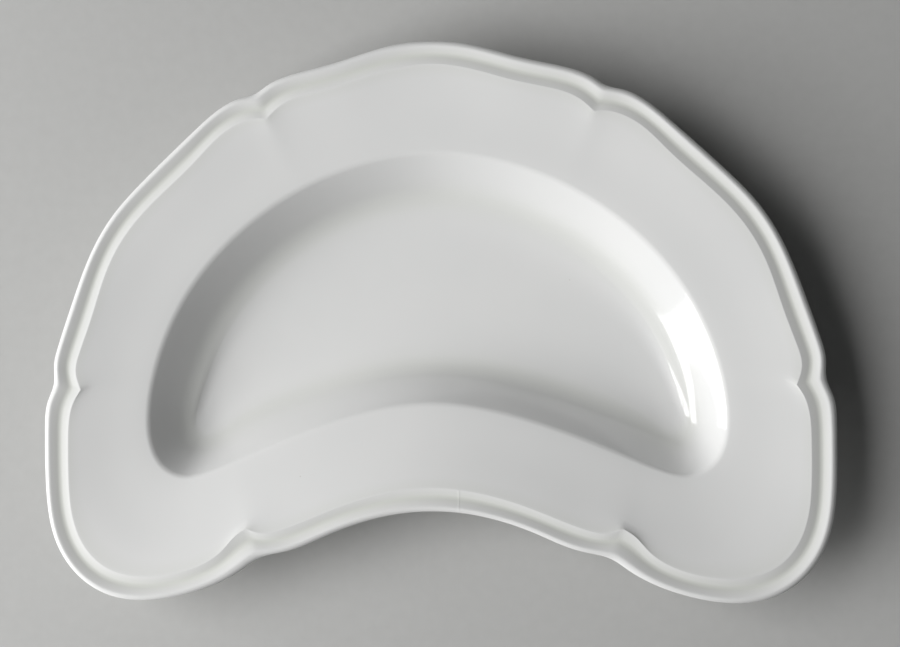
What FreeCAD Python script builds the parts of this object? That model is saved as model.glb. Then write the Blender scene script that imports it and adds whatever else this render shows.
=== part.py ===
import FreeCAD, Part
import os

os.makedirs("parts", exist_ok=True)

# Crescent salad plate: one fired piece of glazed porcelain, in millimetres.
#
# The origin is on the table, under the middle of the plate's outline. +X runs along the plate, from tip to
# tip, +Y points to its convex back, and +Z is up. The plate is the same on both sides of the plane X = 0.
#
# The plate is a section carried round a crescent. Five lines in plan say where the section lies: the outer
# edge, the ridge, the top of the well's wall, the rim of its floor, and a spine along the middle of the
# floor. A point of the section lies between two of these lines, at its own height.
#
# The plate is one piece. Its solids are the zones of that piece, and they meet face to face.

# ---- Driving dimensions ----
LIP_TOP = 22.0            # table to the crest of the lip
EDGE_HEIGHT = 20.4        # table to the widest point of the rounded lip
RIDGE_TOP = 21.6          # table to the crest of the ridge
WELL_TOP = 18.5           # table to the line where the rim turns down into the well
WELL_DEPTH = 10.65        # that line to the middle of the floor
FLOOR_UNDERSIDE = 4.0     # table to the underside of the floor, inside the foot
FOOT_ROOT_OUTER = 5.0     # table to where the foot's outer side leaves the wall
FOOT_ROOT_INNER = 3.8     # table to where the foot's inner side leaves the floor
BARE_EDGE_HEIGHT = 1.0    # height of the foot's unglazed edge
RIDGE_UNDERSIDE = 18.1    # underside of the rim, below the ridge
WELL_UNDERSIDE = 14.1     # underside of the rim, below the top of the well's wall

# ---- Where the lines lie along the section, measured inwards from the outer edge ----
EDGE_AT = 0.0
RIDGE_AT = 6.3
WELL_AT = 27.8
FLOOR_AT = 40.8
SPINE_AT = 61.0

FOOT_ROOT_OUTER_AT = 34.2
FOOT_ROOT_INNER_AT = 39.2
FOOT_OUTER_AT = 34.6
FOOT_INNER_AT = 38.6

POINTS_PER_LOBE = 17      # points that carry one ring along one lobe

# ---- The lines in plan, right half, clockwise from the middle of the back ----
# The outline has six lobes. A lobe is one list, and neighbouring lists share their corner point.
EDGE_LINE = {
    "back": [(0, 74), (8, 73.45), (16, 71.6), (24, 69.2), (31.8, 67.3), (39.5, 65.2), (43.6, 63.2),
             (46.6, 61.2)],
    "shoulder": [(46.6, 61.2), (51.3, 59.9), (56, 57.6), (63.7, 51.3), (78.3, 37.6), (85.1, 30.3),
                 (90.6, 22), (94.7, 12.9), (98.1, 3.5), (101.3, -6), (102.4, -10.9), (102.5, -15.9)],
    "end": [(102.5, -15.9), (104.3, -20.9), (105, -27), (105, -37), (104.5, -47.8), (102.2, -58.3),
            (96.4, -67.2), (87.3, -72.8), (76.9, -74), (66, -72.2), (56, -68.5), (51.2, -65.7),
            (46.8, -62.8)],
    "front": [(46.8, -62.8), (39, -60.8), (27.7, -56.4), (16.1, -52.4), (8, -50.8), (0, -50.3)],
}
RIDGE_LINE = {
    "back": [(0, 67.8), (7.2, 67.1), (14.3, 65.4), (22, 63.1), (30, 61.2), (35, 59.9), (40, 57.5),
             (43.6, 54.2)],
    "shoulder": [(43.6, 54.2), (46, 54.4), (49.3, 53.8), (55.8, 50.3), (63, 43.3), (77.2, 29.9),
                 (82.9, 22.9), (87.2, 15), (91.9, 1.3), (95.1, -7.6), (96.2, -12.6), (94.8, -17.6)],
    "end": [(94.8, -17.6), (96.6, -20.4), (97.9, -24.5), (98.4, -31.7), (98.3, -42), (97.3, -51.6),
            (94.2, -59.4), (88.7, -64.9), (81.3, -67.4), (72.4, -67.3), (63.2, -64.9), (56.3, -60.4),
            (52.8, -56.6), (49.9, -54.8)],
    "front": [(49.9, -54.8), (46.2, -56), (42.2, -55.6), (37.2, -54), (25.9, -49.5), (13.3, -45.7),
              (0, -44.1)],
}
WELL_LINE = {
    "back": [(0, 45.3), (20, 42.3), (35.6, 36.2)],
    "shoulder": [(35.6, 36.2), (48, 28.4), (58.5, 19), (66, 9.6), (71.6, -0.4), (76.5, -15)],
    "end": [(76.5, -15), (77.8, -25), (76.8, -33.4), (73.3, -39.2), (67.5, -41.7), (61, -40.6),
            (53, -37.6)],
    "front": [(53, -37.6), (35, -30.4), (20, -25.6), (0, -22.6)],
}
FLOOR_LINE = {
    "back": [(0, 32.3), (16.5, 29.8), (29.4, 24.6)],
    "shoulder": [(29.4, 24.6), (39.2, 18.6), (48.6, 10.6), (55.5, 2.4), (60.2, -5.6), (64.2, -15.8)],
    "end": [(64.2, -15.8), (66.6, -23.4), (66.9, -28), (64.9, -31), (61, -30.6), (57, -28)],
    "front": [(57, -28), (38.4, -18.9), (21, -13.4), (0, -10.9)],
}
SPINE_LINE = {
    "back": [(0, 10.7), (20, 7.8)],
    "shoulder": [(20, 7.8), (40, -0.4), (54, -11), (59.5, -18)],
    "end": [(59.5, -18), (61.5, -22), (56, -13.2)],
    "front": [(56, -13.2), (40, -0.4), (20, 7.8), (0, 10.7)],
}

# ---- The section: distance in from the edge, and height ----
LIP_SECTION = [
    (EDGE_AT, EDGE_HEIGHT),
    (0.15, LIP_TOP - 0.85),
    (0.55, LIP_TOP - 0.25),
    (1.2, LIP_TOP),
    (2.0, LIP_TOP - 0.2),
    (2.9, LIP_TOP - 0.65),
    (3.9, LIP_TOP - 1.0),
    (5.0, RIDGE_TOP - 0.35),
    (5.7, RIDGE_TOP - 0.1),
    (RIDGE_AT, RIDGE_TOP),
]
LIP_UNDERSIDE = [
    (RIDGE_AT, RIDGE_UNDERSIDE),
    (2.5, RIDGE_UNDERSIDE + 0.45),
    (1.2, RIDGE_UNDERSIDE + 0.75),
    (0.5, RIDGE_UNDERSIDE + 1.15),
    (0.1, RIDGE_UNDERSIDE + 1.7),
]
RIM_SECTION = [
    (RIDGE_AT, RIDGE_TOP),
    (6.9, RIDGE_TOP - 0.1),
    (7.8, RIDGE_TOP - 0.27),
    (12.0, RIDGE_TOP - 0.95),
    (18.0, RIDGE_TOP - 1.85),
    (24.0, WELL_TOP + 0.45),
    (WELL_AT, WELL_TOP),
]
RIM_UNDERSIDE = [
    (WELL_AT, WELL_UNDERSIDE),
    (24.0, WELL_UNDERSIDE + 1.1),
    (18.0, RIDGE_UNDERSIDE - 1.9),
    (12.0, RIDGE_UNDERSIDE - 0.95),
    (RIDGE_AT, RIDGE_UNDERSIDE),
]
WALL_SECTION = [
    (WELL_AT, WELL_TOP),
    (29.3, WELL_TOP - 0.45),
    (30.5, WELL_TOP - 1.3),
    (32.5, WELL_TOP - 3.6),
    (34.7, WELL_TOP - 6.2),
    (36.8, WELL_TOP - 8.0),
    (38.9, WELL_TOP - 9.05),
    (FLOOR_AT, WELL_TOP - 9.6),
]
WALL_UNDERSIDE = [
    (FLOOR_AT, FLOOR_UNDERSIDE),
    (FOOT_ROOT_INNER_AT, FOOT_ROOT_INNER),
    (FOOT_ROOT_OUTER_AT, FOOT_ROOT_OUTER),
    (32.8, FOOT_ROOT_OUTER + 2.9),
    (31.0, FOOT_ROOT_OUTER + 5.6),
    (29.3, FOOT_ROOT_OUTER + 7.8),
    (WELL_AT, WELL_UNDERSIDE),
]
FLOOR_SECTION = [
    (FLOOR_AT, FLOOR_UNDERSIDE),
    (FLOOR_AT, WELL_TOP - 9.6),
    (44.0, WELL_TOP - 10.15),
    (49.0, WELL_TOP - 10.55),
    (54.0, WELL_TOP - WELL_DEPTH),
]
FOOT_SECTION = [
    (FOOT_ROOT_OUTER_AT, FOOT_ROOT_OUTER),
    (34.4, 3.0),
    (FOOT_OUTER_AT, BARE_EDGE_HEIGHT),
    (FOOT_INNER_AT, BARE_EDGE_HEIGHT),
    (38.8, 3.0),
    (FOOT_ROOT_INNER_AT, FOOT_ROOT_INNER),
]
BARE_EDGE_SECTION = [
    (FOOT_OUTER_AT, BARE_EDGE_HEIGHT),
    (34.85, 0.3),
    (35.3, 0.0),
    (37.9, 0.0),
    (38.35, 0.3),
    (FOOT_INNER_AT, BARE_EDGE_HEIGHT),
]


def vectors(points):
    """The points of a list as vectors on the table."""
    return [FreeCAD.Vector(x, y, 0) for x, y in points]


def mirrored(points):
    """The same points on the left half, in clockwise order."""
    return [(-x, y) for x, y in reversed(points)]


def six_lobes(line):
    """Point lists of the six lobes, clockwise from the left corner of the back lobe."""
    return [
        mirrored(line["back"]) + line["back"][1:],
        line["shoulder"],
        line["end"],
        line["front"] + mirrored(line["front"])[1:],
        mirrored(line["end"]),
        mirrored(line["shoulder"]),
    ]


def evenly_along(edge):
    """Points at equal steps along an edge."""
    return edge.discretize(Number=POINTS_PER_LOBE)


def cornered_line(line):
    """Each lobe is a curve of its own, so that the lobes meet at sharp corners."""
    lobes = []
    for points in six_lobes(line):
        curve = Part.BSplineCurve()
        curve.interpolate(vectors(points))
        lobes.append(evenly_along(curve.toShape()))
    return lobes


def smooth_line(line):
    """One closed curve through every lobe, cut at the corner points."""
    lobes = six_lobes(line)
    through = [point for points in lobes for point in points[:-1]]
    curve = Part.BSplineCurve()
    curve.interpolate(vectors(through), PeriodicFlag=True)
    cuts = [curve.parameter(corner) for corner in vectors([points[0] for points in lobes])]
    cuts[0] = curve.FirstParameter
    cuts.append(curve.LastParameter)
    return [evenly_along(curve.toShape(start, end)) for start, end in zip(cuts, cuts[1:])]


LINES = [
    (EDGE_AT, smooth_line(EDGE_LINE)),
    (RIDGE_AT, cornered_line(RIDGE_LINE)),
    (WELL_AT, smooth_line(WELL_LINE)),
    (FLOOR_AT, smooth_line(FLOOR_LINE)),
    (SPINE_AT, cornered_line(SPINE_LINE)),
]


def ring(distance, height):
    """Six edges round the plate, at one distance in from the outer edge and one height."""
    for (outer_at, outer), (inner_at, inner) in zip(LINES, LINES[1:]):
        if distance <= inner_at:
            break
    share = (distance - outer_at) / (inner_at - outer_at)
    lift = FreeCAD.Vector(0, 0, height)
    edges = []
    for outer_lobe, inner_lobe in zip(outer, inner):
        points = [a * (1 - share) + b * share + lift for a, b in zip(outer_lobe, inner_lobe)]
        curve = Part.BSplineCurve()
        curve.interpolate(points)
        edges.append(curve.toShape())
    return edges


def level(edges):
    """The height of a ring."""
    return edges[0].Vertexes[0].Z


def flat_between(first, second):
    """One flat face between two rings at the same height."""
    return Part.makeFace([Part.Wire(first), Part.Wire(second)], "Part::FaceMakerBullseye")


def skin(rings):
    """The faces from each ring to the next: flat where both are at one height, and ruled elsewhere."""
    faces = []
    for first, second in zip(rings, rings[1:]):
        if level(first) == level(second):
            faces.append(flat_between(first, second))
        else:
            faces += [Part.makeRuledSurface(a, b) for a, b in zip(first, second)]
    return faces


def solid(faces):
    """One closed solid inside a set of faces."""
    shell = Part.Shell(faces)
    shell.sewShape()
    body = Part.Solid(shell)
    if body.Volume < 0:
        body.reverse()
    return body


def band(section):
    """A closed section carried all the way round the plate."""
    rings = [ring(distance, height) for distance, height in section]
    return solid(skin(rings + rings[:1]))


def slab(section):
    """A section carried round, with a flat face across its first ring and its last."""
    rings = [ring(distance, height) for distance, height in section]
    caps = [Part.Face(Part.Wire(edges)) for edges in (rings[0], rings[-1])]
    return solid(skin(rings) + caps)


ZONES = {
    "moulded_edge": band(LIP_SECTION + LIP_UNDERSIDE),
    "flat_rim": band(RIM_SECTION + RIM_UNDERSIDE),
    "well_wall": band(WALL_SECTION + WALL_UNDERSIDE),
    "well_floor": slab(FLOOR_SECTION),
    "foot_ring": band(FOOT_SECTION),
    "foot_edge": band(BARE_EDGE_SECTION),
}

for name, shape in ZONES.items():
    shape.exportStep("parts/" + name + ".step")
    box = shape.BoundBox
    print(name, "valid", shape.isValid(), "volume", round(shape.Volume), "mm3, X", round(box.XMin, 2),
          round(box.XMax, 2), "Y", round(box.YMin, 2), round(box.YMax, 2), "Z", round(box.ZMin, 2),
          round(box.ZMax, 2))
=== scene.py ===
import math

import bmesh
import bpy
import numpy as np
from mathutils import Matrix, Vector


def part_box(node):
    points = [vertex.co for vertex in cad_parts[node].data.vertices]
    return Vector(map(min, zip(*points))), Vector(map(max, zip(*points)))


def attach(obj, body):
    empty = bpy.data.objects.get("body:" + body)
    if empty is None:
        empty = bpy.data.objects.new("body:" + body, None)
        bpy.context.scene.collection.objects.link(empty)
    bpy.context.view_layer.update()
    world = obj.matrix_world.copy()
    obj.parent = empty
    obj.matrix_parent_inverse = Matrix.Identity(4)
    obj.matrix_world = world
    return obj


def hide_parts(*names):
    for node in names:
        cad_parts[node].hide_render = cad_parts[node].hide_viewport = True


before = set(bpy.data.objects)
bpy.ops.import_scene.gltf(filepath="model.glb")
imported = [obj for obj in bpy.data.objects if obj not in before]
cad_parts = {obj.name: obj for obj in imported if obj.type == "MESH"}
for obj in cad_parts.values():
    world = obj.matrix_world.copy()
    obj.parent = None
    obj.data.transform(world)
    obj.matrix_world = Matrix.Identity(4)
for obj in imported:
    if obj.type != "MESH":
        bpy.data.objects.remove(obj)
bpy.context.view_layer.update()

# Crescent salad plate in white glazed porcelain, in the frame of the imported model: the origin is on the
# table under the middle of the outline, +Y points to the convex back, and +Z is up.
# The plate's sizes are in millimetres and are multiplied by MM. The studio's sizes are in metres.

MM = 0.001

GLAZED_ZONES = ("moulded_edge", "flat_rim", "well_wall", "well_floor", "foot_ring")
LIP_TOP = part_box("moulded_edge")[1][2] / MM
RIDGE_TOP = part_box("flat_rim")[1][2] / MM
WELL_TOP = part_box("well_wall")[1][2] / MM
FLOOR_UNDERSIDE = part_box("well_floor")[0][2] / MM
BARE_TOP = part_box("foot_edge")[1][2] / MM

# ---- The plan: five lines that the section is carried along, right half, clockwise, in millimetres ----
# A lobe is one list, and neighbouring lists share their corner point.
EDGE_LINE = {
    "back": [(0, 74), (8, 73.45), (16, 71.6), (24, 69.2), (31.8, 67.3), (39.5, 65.2), (43.6, 63.2),
             (46.6, 61.2)],
    "shoulder": [(46.6, 61.2), (51.3, 59.9), (56, 57.6), (63.7, 51.3), (78.3, 37.6), (85.1, 30.3),
                 (90.6, 22), (94.7, 12.9), (98.1, 3.5), (101.3, -6), (102.4, -10.9), (102.5, -15.9)],
    "end": [(102.5, -15.9), (104.3, -20.9), (105, -27), (105, -37), (104.5, -47.8), (102.2, -58.3),
            (96.4, -67.2), (87.3, -72.8), (76.9, -74), (66, -72.2), (56, -68.5), (51.2, -65.7),
            (46.8, -62.8)],
    "front": [(46.8, -62.8), (39, -60.8), (27.7, -56.4), (16.1, -52.4), (8, -50.8), (0, -50.3)],
}
RIDGE_LINE = {
    "back": [(0, 67.8), (7.2, 67.1), (14.3, 65.4), (22, 63.1), (30, 61.2), (35, 59.9), (40, 57.5),
             (43.6, 54.2)],
    "shoulder": [(43.6, 54.2), (46, 54.4), (49.3, 53.8), (55.8, 50.3), (63, 43.3), (77.2, 29.9),
                 (82.9, 22.9), (87.2, 15), (91.9, 1.3), (95.1, -7.6), (96.2, -12.6), (94.8, -17.6)],
    "end": [(94.8, -17.6), (96.6, -20.4), (97.9, -24.5), (98.4, -31.7), (98.3, -42), (97.3, -51.6),
            (94.2, -59.4), (88.7, -64.9), (81.3, -67.4), (72.4, -67.3), (63.2, -64.9), (56.3, -60.4),
            (52.8, -56.6), (49.9, -54.8)],
    "front": [(49.9, -54.8), (46.2, -56), (42.2, -55.6), (37.2, -54), (25.9, -49.5), (13.3, -45.7),
              (0, -44.1)],
}
WELL_LINE = {
    "back": [(0, 45.3), (20, 42.3), (35.6, 36.2)],
    "shoulder": [(35.6, 36.2), (48, 28.4), (58.5, 19), (66, 9.6), (71.6, -0.4), (76.5, -15)],
    "end": [(76.5, -15), (77.8, -25), (76.8, -33.4), (73.3, -39.2), (67.5, -41.7), (61, -40.6),
            (53, -37.6)],
    "front": [(53, -37.6), (35, -30.4), (20, -25.6), (0, -22.6)],
}
FLOOR_LINE = {
    "back": [(0, 32.3), (16.5, 29.8), (29.4, 24.6)],
    "shoulder": [(29.4, 24.6), (39.2, 18.6), (48.6, 10.6), (55.5, 2.4), (60.2, -5.6), (64.2, -15.8)],
    "end": [(64.2, -15.8), (66.6, -23.4), (66.9, -28), (64.9, -31), (61, -30.6), (57, -28)],
    "front": [(57, -28), (38.4, -18.9), (21, -13.4), (0, -10.9)],
}
SPINE_LINE = {
    "back": [(0, 10.7), (20, 7.8)],
    "shoulder": [(20, 7.8), (40, -0.4), (54, -11), (59.5, -18)],
    "end": [(59.5, -18), (61.5, -22), (56, -13.2)],
    "front": [(56, -13.2), (40, -0.4), (20, 7.8), (0, 10.7)],
}

# ---- Where each line lies along the section, inwards from the outer edge ----
EDGE_AT, RIDGE_AT, WELL_AT, FLOOR_AT, SPINE_AT = 0.0, 6.3, 27.8, 40.8, 61.0
FLAT_FLOOR_AT = 54.0      # from here inwards the floor is flat
RIM_AT = 10.5             # from the ridge's cusps to here, their creases fade out on the rim

# ---- The glazed body's section: distance in from the edge, height, radius of the rounded corner ----
GLAZED_SECTION = [
    (FLAT_FLOOR_AT, WELL_TOP - 10.65, 0),
    (47.0, WELL_TOP - 10.45, 60),
    (38.8, WELL_TOP - 9.15, 12),
    (28.5, WELL_TOP + 0.1, 3.2),
    (18.0, WELL_TOP + 1.28, 150),
    (RIDGE_AT + 0.7, RIDGE_TOP - 0.05, 3),
    (RIDGE_AT, RIDGE_TOP + 0.07, 0.7),
    (3.9, LIP_TOP - 0.98, 2.2),
    (1.55, LIP_TOP, 1.6),
    (EDGE_AT, LIP_TOP, 1.45),
    (EDGE_AT, LIP_TOP - 3.25, 1.2),
    (7.0, LIP_TOP - 3.9, 40),
    (27.3, 14.5, 6),
    (33.8, 5.9, 2.2),
    (34.62, BARE_TOP, 0.22),
    (38.58, BARE_TOP, 0.22),
    (39.0, FLOOR_UNDERSIDE, 1.1),
    (FLAT_FLOOR_AT, FLOOR_UNDERSIDE, 0),
]
BARE_SECTION = [
    (34.72, BARE_TOP, 0),
    (34.74, 0.0, 0.5),
    (38.46, 0.0, 0.5),
    (38.48, BARE_TOP, 0),
]

# ---- Where shade is painted into the hollows of the upper side: place along the section, width, depth ----
PAINTED_SHADE_BANDS = [
    (3.9, 1.1, 1.0),      # the groove
    (7.3, 0.8, 0.35),     # the foot of the ridge
    (39.6, 3.2, 0.5),     # the foot of the well's wall
]
SEAM_X = 7.0              # the mould's seam crosses the front edge here
SEAM_HALF_WIDTH = 0.35
SEAM_IN_FRONT_OF = -40.0  # this keeps the seam off the back edge

# ---- How finely the meshes are divided ----
LOBES = 6
STEPS_PER_LOBE = 84
ARC_STEP = math.radians(7)
LONGEST_RUN = 3.2         # a straight run of the section is cut no longer than this
LEAST_ARC_STEPS = 3
LINE_RESOLUTION = 48
WELD_DISTANCE = 0.002 * MM
SHARP_ANGLE = math.radians(40)


# ---- Lines and sections ----
def mirrored(points):
    """The same points on the left half, in clockwise order."""
    return [(-x, y) for x, y in reversed(points)]


def six_lobes(line):
    """Point lists of the six lobes, clockwise from the left corner of the back lobe."""
    return [
        mirrored(line["back"]) + line["back"][1:],
        line["shoulder"],
        line["end"],
        line["front"] + mirrored(line["front"])[1:],
        mirrored(line["end"]),
        mirrored(line["shoulder"]),
    ]


def slopes_through(points, closed):
    """The slope at each point of the smooth cubic curve through them, and the chords between them."""
    points = np.array(points, float)
    following = np.roll(points, -1, axis=0)
    chords = np.linalg.norm(following - points, axis=1)
    count = len(points)
    matrix = np.zeros((count, count))
    right = np.zeros((count, 2))
    for i in range(count):
        before, after = (i - 1) % count, (i + 1) % count
        if closed or 0 < i < count - 1:
            matrix[i, before] += 1 / chords[before]
            matrix[i, after] += 1 / chords[i]
            matrix[i, i] += 2 / chords[before] + 2 / chords[i]
            right[i] = 3 * ((points[i] - points[before]) / chords[before] ** 2
                            + (points[after] - points[i]) / chords[i] ** 2)
        else:
            inner, chord = (1, chords[0]) if i == 0 else (count - 2, chords[count - 2])
            matrix[i, i] = 2
            matrix[i, inner] = 1
            right[i] = 3 * (points[inner] - points[i]) / chord * (1 if i == 0 else -1)
    return np.linalg.solve(matrix, right), chords


def add_lobe(curve, points, slopes, chords):
    """One lobe of a line as a Bezier spline."""
    spline = curve.splines.new("BEZIER")
    spline.bezier_points.add(len(points) - 1)
    for i, knot in enumerate(spline.bezier_points):
        knot.handle_left_type = knot.handle_right_type = "FREE"
        before = chords[i - 1] if i else chords[i]
        after = chords[i] if i < len(points) - 1 else before
        place = Vector((*points[i], 0)) * MM
        slope = Vector((*slopes[i], 0)) * MM
        knot.co = place
        knot.handle_left = place - slope * before / 3
        knot.handle_right = place + slope * after / 3


def plan_line(name, line, cornered):
    """A line in plan: six splines, which meet smoothly or at sharp corners."""
    curve = bpy.data.curves.new(name, "CURVE")
    curve.dimensions = "3D"
    curve.resolution_u = LINE_RESOLUTION
    lobes = six_lobes(line)
    if cornered:
        for points in lobes:
            slopes, chords = slopes_through(points, closed=False)
            add_lobe(curve, points, slopes, chords)
    else:
        through = [point for points in lobes for point in points[:-1]]
        slopes, chords = slopes_through(through, closed=True)
        start = 0
        for points in lobes:
            around = [(start + i) % len(through) for i in range(len(points))]
            add_lobe(curve, points, slopes[around], chords[around])
            start += len(points) - 1
    return helper(name, curve)


def rounded(corners, closed):
    """The points of a section whose corners are rounded by arcs, with its long runs cut up.

    A closed section's last run leads back to its first point, which isn't repeated.
    """
    places = [Vector(corner[:2]) for corner in corners]
    points = []
    for i, (corner, (_, _, radius)) in enumerate(zip(places, corners)):
        if radius == 0:
            points.append(corner)
            continue
        back = (places[i - 1] - corner).normalized()
        ahead = (places[(i + 1) % len(places)] - corner).normalized()
        turn = math.pi - back.angle(ahead)
        reach = radius * math.tan(turn / 2)
        centre = corner + (back + ahead).normalized() * radius / math.cos(turn / 2)
        start = corner + back * reach - centre
        side = 1 if back.cross(ahead) > 0 else -1
        steps = max(LEAST_ARC_STEPS, math.ceil(turn / ARC_STEP))
        for step in range(steps + 1):
            points.append(centre + Matrix.Rotation(-side * turn * step / steps, 2) @ start)
    if closed:
        points.append(points[0])
    cut = [points[0]]
    for first, second in zip(points, points[1:]):
        pieces = max(1, math.ceil((second - first).length / LONGEST_RUN))
        cut += [first.lerp(second, (n + 1) / pieces) for n in range(pieces)]
    if closed:
        cut.pop()
    return cut


def painted_shade_at(distance):
    """How much painted shade darkens one place on the upper side, from 0 to 1."""
    depths = [depth * math.exp(-((distance - at) / width) ** 2) for at, width, depth in PAINTED_SHADE_BANDS]
    return min(1.0, sum(depths))


def section_curve(name, corners, closed):
    """A section as a curve: X holds the distance in from the edge, Y the height and Z the painted shade."""
    points = rounded(corners, closed)
    # Shade is painted on the upper side only, which ends at the section's outermost point.
    outermost = min(range(len(points)), key=lambda number: points[number].x)
    curve = bpy.data.curves.new(name, "CURVE")
    curve.dimensions = "3D"
    spline = curve.splines.new("POLY")
    spline.points.add(len(points) - 1)
    for number, (knot, (distance, height)) in enumerate(zip(spline.points, points)):
        painted_shade = painted_shade_at(distance) if number < outermost else 0.0
        knot.co = (distance * MM, height * MM, painted_shade, 1)
    return helper(name, curve), len(points)


def helper(name, curve):
    """A drawing that the tree reads. It is removed once the plate is made."""
    line = bpy.data.objects.new(name, curve)
    bpy.context.scene.collection.objects.link(line)
    return line


# ---- The tree that carries a section round the plan ----
VECTOR_A, VECTOR_B, VECTOR_RESULT = 4, 5, 1       # sockets of a mix node that blends vectors
LINE_NAMES = ("Edge line", "Ridge line", "Well line", "Floor line", "Spine line")
PLACE_NAMES = ("Edge at", "Ridge at", "Rim at", "Well at", "Floor at", "Spine at")
PLACES = (EDGE_AT, RIDGE_AT, RIM_AT, WELL_AT, FLOOR_AT, SPINE_AT)


def carrying_tree():
    """Geometry Nodes: a grid whose rows follow the section and whose columns follow the six lobes."""
    tree = bpy.data.node_groups.new("carry_section_round_plate", "GeometryNodeTree")
    sockets = tree.interface
    sockets.new_socket("Geometry", in_out="INPUT", socket_type="NodeSocketGeometry")
    sockets.new_socket("Section", in_out="INPUT", socket_type="NodeSocketObject")
    for name in LINE_NAMES:
        sockets.new_socket(name, in_out="INPUT", socket_type="NodeSocketObject")
    for name in PLACE_NAMES:
        sockets.new_socket(name, in_out="INPUT", socket_type="NodeSocketFloat")
    sockets.new_socket("Steps per lobe", in_out="INPUT", socket_type="NodeSocketInt")
    sockets.new_socket("Section points", in_out="INPUT", socket_type="NodeSocketInt")
    sockets.new_socket("Finish", in_out="INPUT", socket_type="NodeSocketMaterial")
    sockets.new_socket("Geometry", in_out="OUTPUT", socket_type="NodeSocketGeometry")
    entry = tree.nodes.new("NodeGroupInput").outputs

    def join(source, target):
        if isinstance(source, (int, float)):
            target.default_value = source
        else:
            tree.links.new(source, target)

    def sum_of(operation, first, second=0):
        node = tree.nodes.new("ShaderNodeMath")
        node.operation = operation
        join(first, node.inputs[0])
        join(second, node.inputs[1])
        return node.outputs[0]

    def shape_of(name):
        node = tree.nodes.new("GeometryNodeObjectInfo")
        join(entry[name], node.inputs["Object"])
        return node.outputs["Geometry"]

    columns = sum_of("ADD", sum_of("MULTIPLY", entry["Steps per lobe"], LOBES), 1)
    grid = tree.nodes.new("GeometryNodeMeshGrid")
    join(columns, grid.inputs["Vertices X"])
    join(entry["Section points"], grid.inputs["Vertices Y"])

    # Half a step is added before each whole division, so that rounding can't drop a step.
    index = tree.nodes.new("GeometryNodeInputIndex").outputs[0]
    row = sum_of("MODULO", index, entry["Section points"])
    column = sum_of("FLOOR", sum_of("DIVIDE", sum_of("ADD", index, 0.5), entry["Section points"]))
    lobes_passed = sum_of("FLOOR", sum_of("DIVIDE", sum_of("ADD", column, 0.5), entry["Steps per lobe"]))
    lobe = sum_of("MODULO", lobes_passed, LOBES)
    along = sum_of("DIVIDE", sum_of("MODULO", column, entry["Steps per lobe"]), entry["Steps per lobe"])

    section = tree.nodes.new("GeometryNodeSampleIndex")
    section.data_type = "FLOAT_VECTOR"
    join(shape_of("Section"), section.inputs["Geometry"])
    join(tree.nodes.new("GeometryNodeInputPosition").outputs[0], section.inputs["Value"])
    join(row, section.inputs["Index"])
    drawn = tree.nodes.new("ShaderNodeSeparateXYZ")
    join(section.outputs["Value"], drawn.inputs[0])
    distance, height, painted_shade = drawn.outputs

    def along_line(name):
        sample = tree.nodes.new("GeometryNodeSampleCurve")
        sample.mode = "FACTOR"
        join(shape_of(name), sample.inputs["Curves"])
        join(along, sample.inputs["Factor"])
        join(lobe, sample.inputs["Curve Index"])
        return sample.outputs["Position"]

    def between(first, second, share):
        blend = tree.nodes.new("ShaderNodeMix")
        blend.data_type = "VECTOR"
        join(share, blend.inputs["Factor"])
        join(first, blend.inputs[VECTOR_A])
        join(second, blend.inputs[VECTOR_B])
        return blend.outputs[VECTOR_RESULT]

    edge, ridge, well, floor, spine = [along_line(name) for name in LINE_NAMES]
    rim = between(edge, well, sum_of("DIVIDE", entry["Rim at"], entry["Well at"]))
    place = edge
    for number, line in enumerate((ridge, rim, well, floor, spine)):
        share = tree.nodes.new("ShaderNodeMapRange")
        join(distance, share.inputs["Value"])
        join(entry[PLACE_NAMES[number]], share.inputs["From Min"])
        join(entry[PLACE_NAMES[number + 1]], share.inputs["From Max"])
        place = between(place, line, share.outputs["Result"])

    plan = tree.nodes.new("ShaderNodeSeparateXYZ")
    join(place, plan.inputs[0])
    point = tree.nodes.new("ShaderNodeCombineXYZ")
    join(plan.outputs[0], point.inputs[0])
    join(plan.outputs[1], point.inputs[1])
    join(height, point.inputs[2])

    shape = grid.outputs["Mesh"]
    # The section's Z is stored as the painted shade of the hollows, which the glaze's colour reads.
    for name, value in (("pooled_glaze", painted_shade), ("in_from_edge", distance)):
        store = tree.nodes.new("GeometryNodeStoreNamedAttribute")
        store.data_type = "FLOAT"
        store.inputs["Name"].default_value = name
        join(shape, store.inputs["Geometry"])
        join(value, store.inputs["Value"])
        shape = store.outputs["Geometry"]
    move = tree.nodes.new("GeometryNodeSetPosition")
    join(shape, move.inputs["Geometry"])
    join(point.outputs[0], move.inputs["Position"])
    realize = tree.nodes.new("GeometryNodeRealizeInstances")
    join(move.outputs["Geometry"], realize.inputs["Geometry"])
    finish = tree.nodes.new("GeometryNodeSetMaterial")
    join(realize.outputs["Geometry"], finish.inputs["Geometry"])
    join(entry["Finish"], finish.inputs["Material"])
    join(finish.outputs["Geometry"], tree.nodes.new("NodeGroupOutput").inputs["Geometry"])
    return tree


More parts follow.
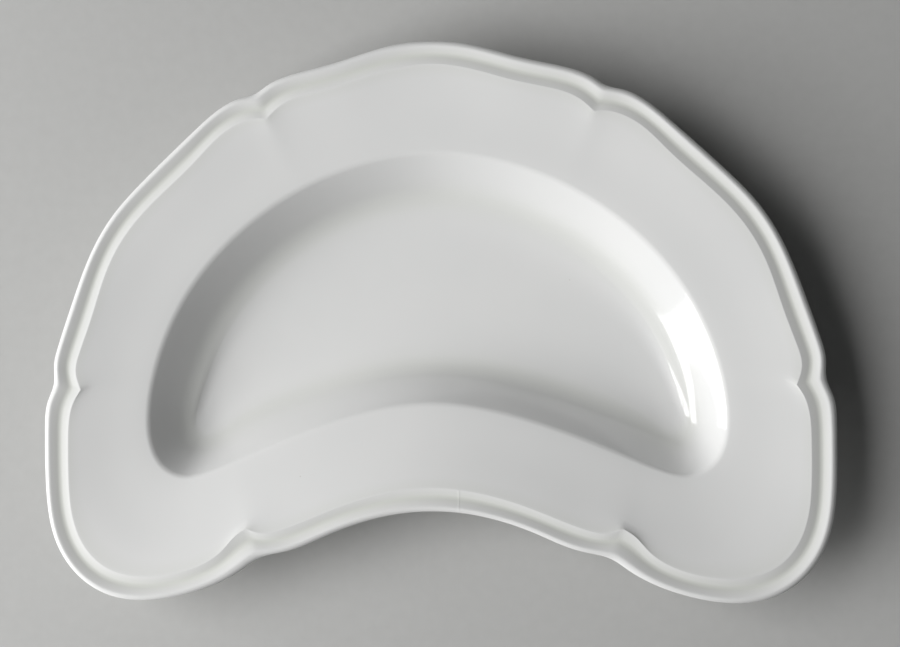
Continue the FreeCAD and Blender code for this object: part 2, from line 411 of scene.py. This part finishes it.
def carried(name, tree, lines, corners, closed, finish):
    """A section carried round the plate, as a closed plain mesh."""
    section, count = section_curve(name + "_section", corners, closed)
    seed = bpy.data.objects.new(name + "_seed", bpy.data.meshes.new(name + "_seed"))
    bpy.context.scene.collection.objects.link(seed)
    modifier = seed.modifiers.new("carry", "NODES")
    modifier.node_group = tree
    values = dict(zip(LINE_NAMES, lines))
    values.update(zip(PLACE_NAMES, (at * MM for at in PLACES)))
    values.update({"Section": section, "Steps per lobe": STEPS_PER_LOBE, "Section points": count,
                   "Finish": finish})
    for socket in tree.interface.items_tree:
        if socket.in_out == "INPUT" and socket.name in values:
            modifier[socket.identifier] = values[socket.name]
    evaluated = seed.evaluated_get(bpy.context.evaluated_depsgraph_get())
    mesh = bpy.data.meshes.new_from_object(evaluated)
    seed.modifiers.clear()
    bpy.data.objects.remove(seed)
    bpy.data.objects.remove(section)
    close_mesh(mesh, count, closed)
    piece = bpy.data.objects.new(name, mesh)
    bpy.context.scene.collection.objects.link(piece)
    return piece


def close_mesh(mesh, count, closed):
    """Closes the mesh where its ends, its section or its two flat middles are open, and sets its shading."""
    shape = bmesh.new()
    shape.from_mesh(mesh)
    if closed:
        shape.verts.ensure_lookup_table()
        for start in range(0, len(shape.verts) - count, count):
            after = start + count
            shape.faces.new([shape.verts[n] for n in (start + count - 1, start, after, after + count - 1)])
    bmesh.ops.remove_doubles(shape, verts=shape.verts, dist=WELD_DISTANCE)
    if not closed:
        rims = [edge for edge in shape.edges if edge.is_boundary]
        caps = bmesh.ops.holes_fill(shape, edges=rims, sides=0)["faces"]
        bmesh.ops.triangulate(shape, faces=caps)
    bmesh.ops.recalc_face_normals(shape, faces=shape.faces)
    for face in shape.faces:
        face.smooth = True
    for edge in shape.edges:
        edge.smooth = edge.calc_face_angle(0) < SHARP_ANGLE
    shape.to_mesh(mesh)
    shape.free()


# ---- Finishes ----
COLOUR_A, COLOUR_B, COLOUR_RESULT = 6, 7, 2       # sockets of a mix node that blends colours


def new_finish(name, colour):
    """A material, its shader and a function that adds a node to it."""
    material = bpy.data.materials.new(name)
    material.use_nodes = True
    material.diffuse_color = (*colour, 1)
    nodes, links = material.node_tree.nodes, material.node_tree.links

    def add(kind, inputs=None, **settings):
        node = nodes.new(kind)
        for key, value in settings.items():
            setattr(node, key, value)
        for key, value in (inputs or {}).items():
            if isinstance(value, bpy.types.NodeSocket):
                links.new(value, node.inputs[key])
            else:
                node.inputs[key].default_value = value
        return node

    return material, nodes["Principled BSDF"], links, add


def glazed_porcelain():
    """White body under clear gloss glaze: slightly wavy, with shade painted into the grooves, faintly
    scratched by use.
    """
    white, painted_shade_tint = (0.80, 0.80, 0.79), (0.71, 0.72, 0.68)
    material, shader, links, add = new_finish("glazed_porcelain", white)
    place = add("ShaderNodeTexCoord").outputs["Object"]
    painted_shade = add("ShaderNodeAttribute", attribute_name="pooled_glaze").outputs["Fac"]
    edge = add("ShaderNodeAttribute", attribute_name="in_from_edge").outputs["Fac"]

    cloud = add("ShaderNodeTexNoise", {"Vector": place, "Scale": 28, "Detail": 3})
    tone = add("ShaderNodeMapRange", {"Value": cloud.outputs["Fac"], "From Min": 0.3, "From Max": 0.7,
                                      "To Min": 0.0, "To Max": 1.0})
    body = add("ShaderNodeMix", {"Factor": tone.outputs[0], COLOUR_A: (*white, 1),
                                 COLOUR_B: (0.775, 0.778, 0.77, 1)}, data_type="RGBA")
    # Painted shade: the colour darkens towards this tint in the groove, at the ridge's foot and at the foot
    # of the well's wall.
    painted_shade_colour = add("ShaderNodeMix", {"Factor": painted_shade, COLOUR_A: body.outputs[COLOUR_RESULT],
                                          COLOUR_B: (*painted_shade_tint, 1)}, data_type="RGBA")
    specks = add("ShaderNodeTexVoronoi", {"Vector": place, "Scale": 60, "Randomness": 1.0})
    speck = add("ShaderNodeMapRange", {"Value": specks.outputs["Distance"], "From Min": 0.006,
                                       "From Max": 0.014, "To Min": 0.35, "To Max": 0.0})
    coloured = add("ShaderNodeMix", {"Factor": speck.outputs[0],
                                     COLOUR_A: painted_shade_colour.outputs[COLOUR_RESULT],
                                     COLOUR_B: (0.42, 0.38, 0.32, 1)}, data_type="RGBA")
    links.new(coloured.outputs[COLOUR_RESULT], shader.inputs["Base Color"])

    stretched = add("ShaderNodeMapping", {"Vector": place, "Rotation": (0, 0, 0.7), "Scale": (1, 16, 1)})
    scratches = add("ShaderNodeTexNoise", {"Vector": stretched.outputs[0], "Scale": 220, "Detail": 2})
    scratch = add("ShaderNodeMapRange", {"Value": scratches.outputs["Fac"], "From Min": 0.66,
                                         "From Max": 0.74, "To Min": 0.0, "To Max": 0.07})
    gloss = add("ShaderNodeMapRange", {"Value": cloud.outputs["Fac"], "From Min": 0.3, "From Max": 0.7,
                                       "To Min": 0.05, "To Max": 0.09})
    rough = add("ShaderNodeMath", {0: gloss.outputs[0], 1: scratch.outputs[0]}, operation="ADD")
    links.new(rough.outputs[0], shader.inputs["Roughness"])

    wave = add("ShaderNodeTexNoise", {"Vector": place, "Scale": 34, "Detail": 1})
    peel = add("ShaderNodeTexNoise", {"Vector": place, "Scale": 420, "Detail": 2})
    waves = add("ShaderNodeBump", {"Height": wave.outputs["Fac"], "Strength": 1.0, "Distance": 0.06 * MM})
    peeled = add("ShaderNodeBump", {"Height": peel.outputs["Fac"], "Strength": 1.0,
                                    "Distance": 0.0025 * MM, "Normal": waves.outputs[0]})

    spot = add("ShaderNodeSeparateXYZ", {0: place})
    seam_side = add("ShaderNodeMath", {0: spot.outputs[0], 1: SEAM_X * MM}, operation="SUBTRACT")
    seam_near = add("ShaderNodeMath", {0: seam_side.outputs[0]}, operation="ABSOLUTE")
    seam_line = add("ShaderNodeMapRange", {"Value": seam_near.outputs[0], "From Min": 0.0,
                                           "From Max": SEAM_HALF_WIDTH * MM, "To Min": 1.0,
                                           "To Max": 0.0})
    seam_front = add("ShaderNodeMath", {0: spot.outputs[1], 1: SEAM_IN_FRONT_OF * MM}, operation="LESS_THAN")
    seam_band = add("ShaderNodeMath", {0: edge, 1: RIDGE_AT * MM}, operation="LESS_THAN")
    seam_where = add("ShaderNodeMath", {0: seam_front.outputs[0], 1: seam_band.outputs[0]},
                     operation="MULTIPLY")
    seam = add("ShaderNodeMath", {0: seam_where.outputs[0], 1: seam_line.outputs[0]}, operation="MULTIPLY")
    relief = add("ShaderNodeBump", {"Height": seam.outputs[0], "Strength": 1.0, "Distance": 0.03 * MM,
                                    "Normal": peeled.outputs[0]})
    links.new(relief.outputs[0], shader.inputs["Normal"])
    shader.inputs["IOR"].default_value = 1.5
    return material


def bare_porcelain():
    """The ground edge of the foot: matt, off-white, finely grained, greyed where it slides on tables."""
    pale = (0.70, 0.68, 0.63)
    material, shader, links, add = new_finish("bare_porcelain", pale)
    place = add("ShaderNodeTexCoord").outputs["Object"]
    grain = add("ShaderNodeTexNoise", {"Vector": place, "Scale": 900, "Detail": 4})
    wear = add("ShaderNodeTexNoise", {"Vector": place, "Scale": 60, "Detail": 5})
    worn = add("ShaderNodeMapRange", {"Value": wear.outputs["Fac"], "From Min": 0.42, "From Max": 0.68,
                                      "To Min": 0.0, "To Max": 0.6})
    colour = add("ShaderNodeMix", {"Factor": worn.outputs[0], COLOUR_A: (*pale, 1),
                                   COLOUR_B: (0.50, 0.48, 0.44, 1)}, data_type="RGBA")
    links.new(colour.outputs[COLOUR_RESULT], shader.inputs["Base Color"])
    rough = add("ShaderNodeMapRange", {"Value": grain.outputs["Fac"], "To Min": 0.7, "To Max": 0.9})
    links.new(rough.outputs[0], shader.inputs["Roughness"])
    relief = add("ShaderNodeBump", {"Height": grain.outputs["Fac"], "Strength": 1.0, "Distance": 0.02 * MM})
    links.new(relief.outputs[0], shader.inputs["Normal"])
    return material


# ---- The studio ----
CAMERA_LENS = 70.0
CAMERA_DISTANCE = 0.4616
CAMERA_AIM = (0.0050, -0.0008, 0.0204)
CAMERA_TURNS = {"Z": -0.55, "Y": 5.82, "X": 0.80}     # degrees, from looking straight down
FLOOR_HALF_WIDTH = 1.5


def camera():
    """Almost straight above the plate, a little towards its right end."""
    turned = Matrix.Identity(3)
    for axis, degrees in CAMERA_TURNS.items():
        turned = turned @ Matrix.Rotation(math.radians(degrees), 3, axis)
    lens = bpy.data.cameras.new("camera")
    lens.lens = CAMERA_LENS
    lens.clip_start = 0.01
    seat = bpy.data.objects.new("camera", lens)
    seat.matrix_world = (Matrix.Translation(Vector(CAMERA_AIM) + turned @ Vector((0, 0, CAMERA_DISTANCE)))
                         @ turned.to_4x4())
    bpy.context.scene.collection.objects.link(seat)
    bpy.context.scene.camera = seat


def softbox(name, azimuth, elevation, distance, width, height, watts, mirrored_in_glaze=True):
    """A flat soft light that faces the plate."""
    light = bpy.data.lights.new(name, "AREA")
    light.shape = "RECTANGLE"
    light.size, light.size_y = width, height
    light.energy = watts
    lamp = bpy.data.objects.new(name, light)
    side, up = math.radians(azimuth), math.radians(elevation)
    away = Vector((math.cos(side) * math.cos(up), math.sin(side) * math.cos(up), math.sin(up)))
    lamp.location = away * distance
    lamp.rotation_euler = away.to_track_quat("Z", "Y").to_euler()
    lamp.visible_glossy = mirrored_in_glaze
    bpy.context.scene.collection.objects.link(lamp)


def surroundings():
    """A weak even fill, and a pale backdrop where the camera looks past the floor."""
    world = bpy.data.worlds.new("studio")
    bpy.context.scene.world = world
    world.use_nodes = True
    nodes, links = world.node_tree.nodes, world.node_tree.links
    fill = nodes["Background"]
    fill.inputs["Color"].default_value = (0.95, 0.98, 1.0, 1)
    fill.inputs["Strength"].default_value = 0.05
    backdrop = nodes.new("ShaderNodeBackground")
    backdrop.inputs["Color"].default_value = (0.72, 0.73, 0.74, 1)
    seen = nodes.new("ShaderNodeLightPath").outputs["Is Camera Ray"]
    mix = nodes.new("ShaderNodeMixShader")
    links.new(seen, mix.inputs[0])
    links.new(fill.outputs[0], mix.inputs[1])
    links.new(backdrop.outputs[0], mix.inputs[2])
    links.new(mix.outputs[0], nodes["World Output"].inputs["Surface"])


def pale_floor():
    """A plain pale table top."""
    half = FLOOR_HALF_WIDTH
    corners = [(-half, -half, 0), (half, -half, 0), (half, half, 0), (-half, half, 0)]
    mesh = bpy.data.meshes.new("floor")
    mesh.from_pydata(corners, [], [(0, 1, 2, 3)])
    material, shader, links, add = new_finish("table_top", (0.5, 0.5, 0.49))
    place = add("ShaderNodeTexCoord").outputs["Object"]
    grain = add("ShaderNodeTexNoise", {"Vector": place, "Scale": 300, "Detail": 4})
    colour = add("ShaderNodeMix", {"Factor": grain.outputs["Fac"], COLOUR_A: (0.47, 0.47, 0.46, 1),
                                   COLOUR_B: (0.51, 0.51, 0.50, 1)}, data_type="RGBA")
    links.new(colour.outputs[COLOUR_RESULT], shader.inputs["Base Color"])
    shader.inputs["Roughness"].default_value = 0.8
    mesh.materials.append(material)
    floor = bpy.data.objects.new("floor", mesh)
    bpy.context.scene.collection.objects.link(floor)
    return floor


# ---- Making ----
camera()
softbox("window", azimuth=195, elevation=16, distance=1.05, width=0.6, height=0.6, watts=9.0)
softbox("overhead", azimuth=185, elevation=51, distance=1.1, width=1.0, height=0.8, watts=10.5,
        mirrored_in_glaze=False)
surroundings()
bpy.context.scene.view_settings.view_transform = "Standard"
pale_floor()

plan = [
    plan_line("edge_line", EDGE_LINE, cornered=False),
    plan_line("ridge_line", RIDGE_LINE, cornered=True),
    plan_line("well_line", WELL_LINE, cornered=False),
    plan_line("floor_line", FLOOR_LINE, cornered=False),
    plan_line("spine_line", SPINE_LINE, cornered=True),
]
carry = carrying_tree()

glazed_body = carried("glazed_body", carry, plan, GLAZED_SECTION, False, glazed_porcelain())
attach(glazed_body, "root")
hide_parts(*GLAZED_ZONES)

bare_foot = carried("bare_foot", carry, plan, BARE_SECTION, True, bare_porcelain())
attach(bare_foot, "root")
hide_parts("foot_edge")

for line in plan:
    bpy.data.objects.remove(line)
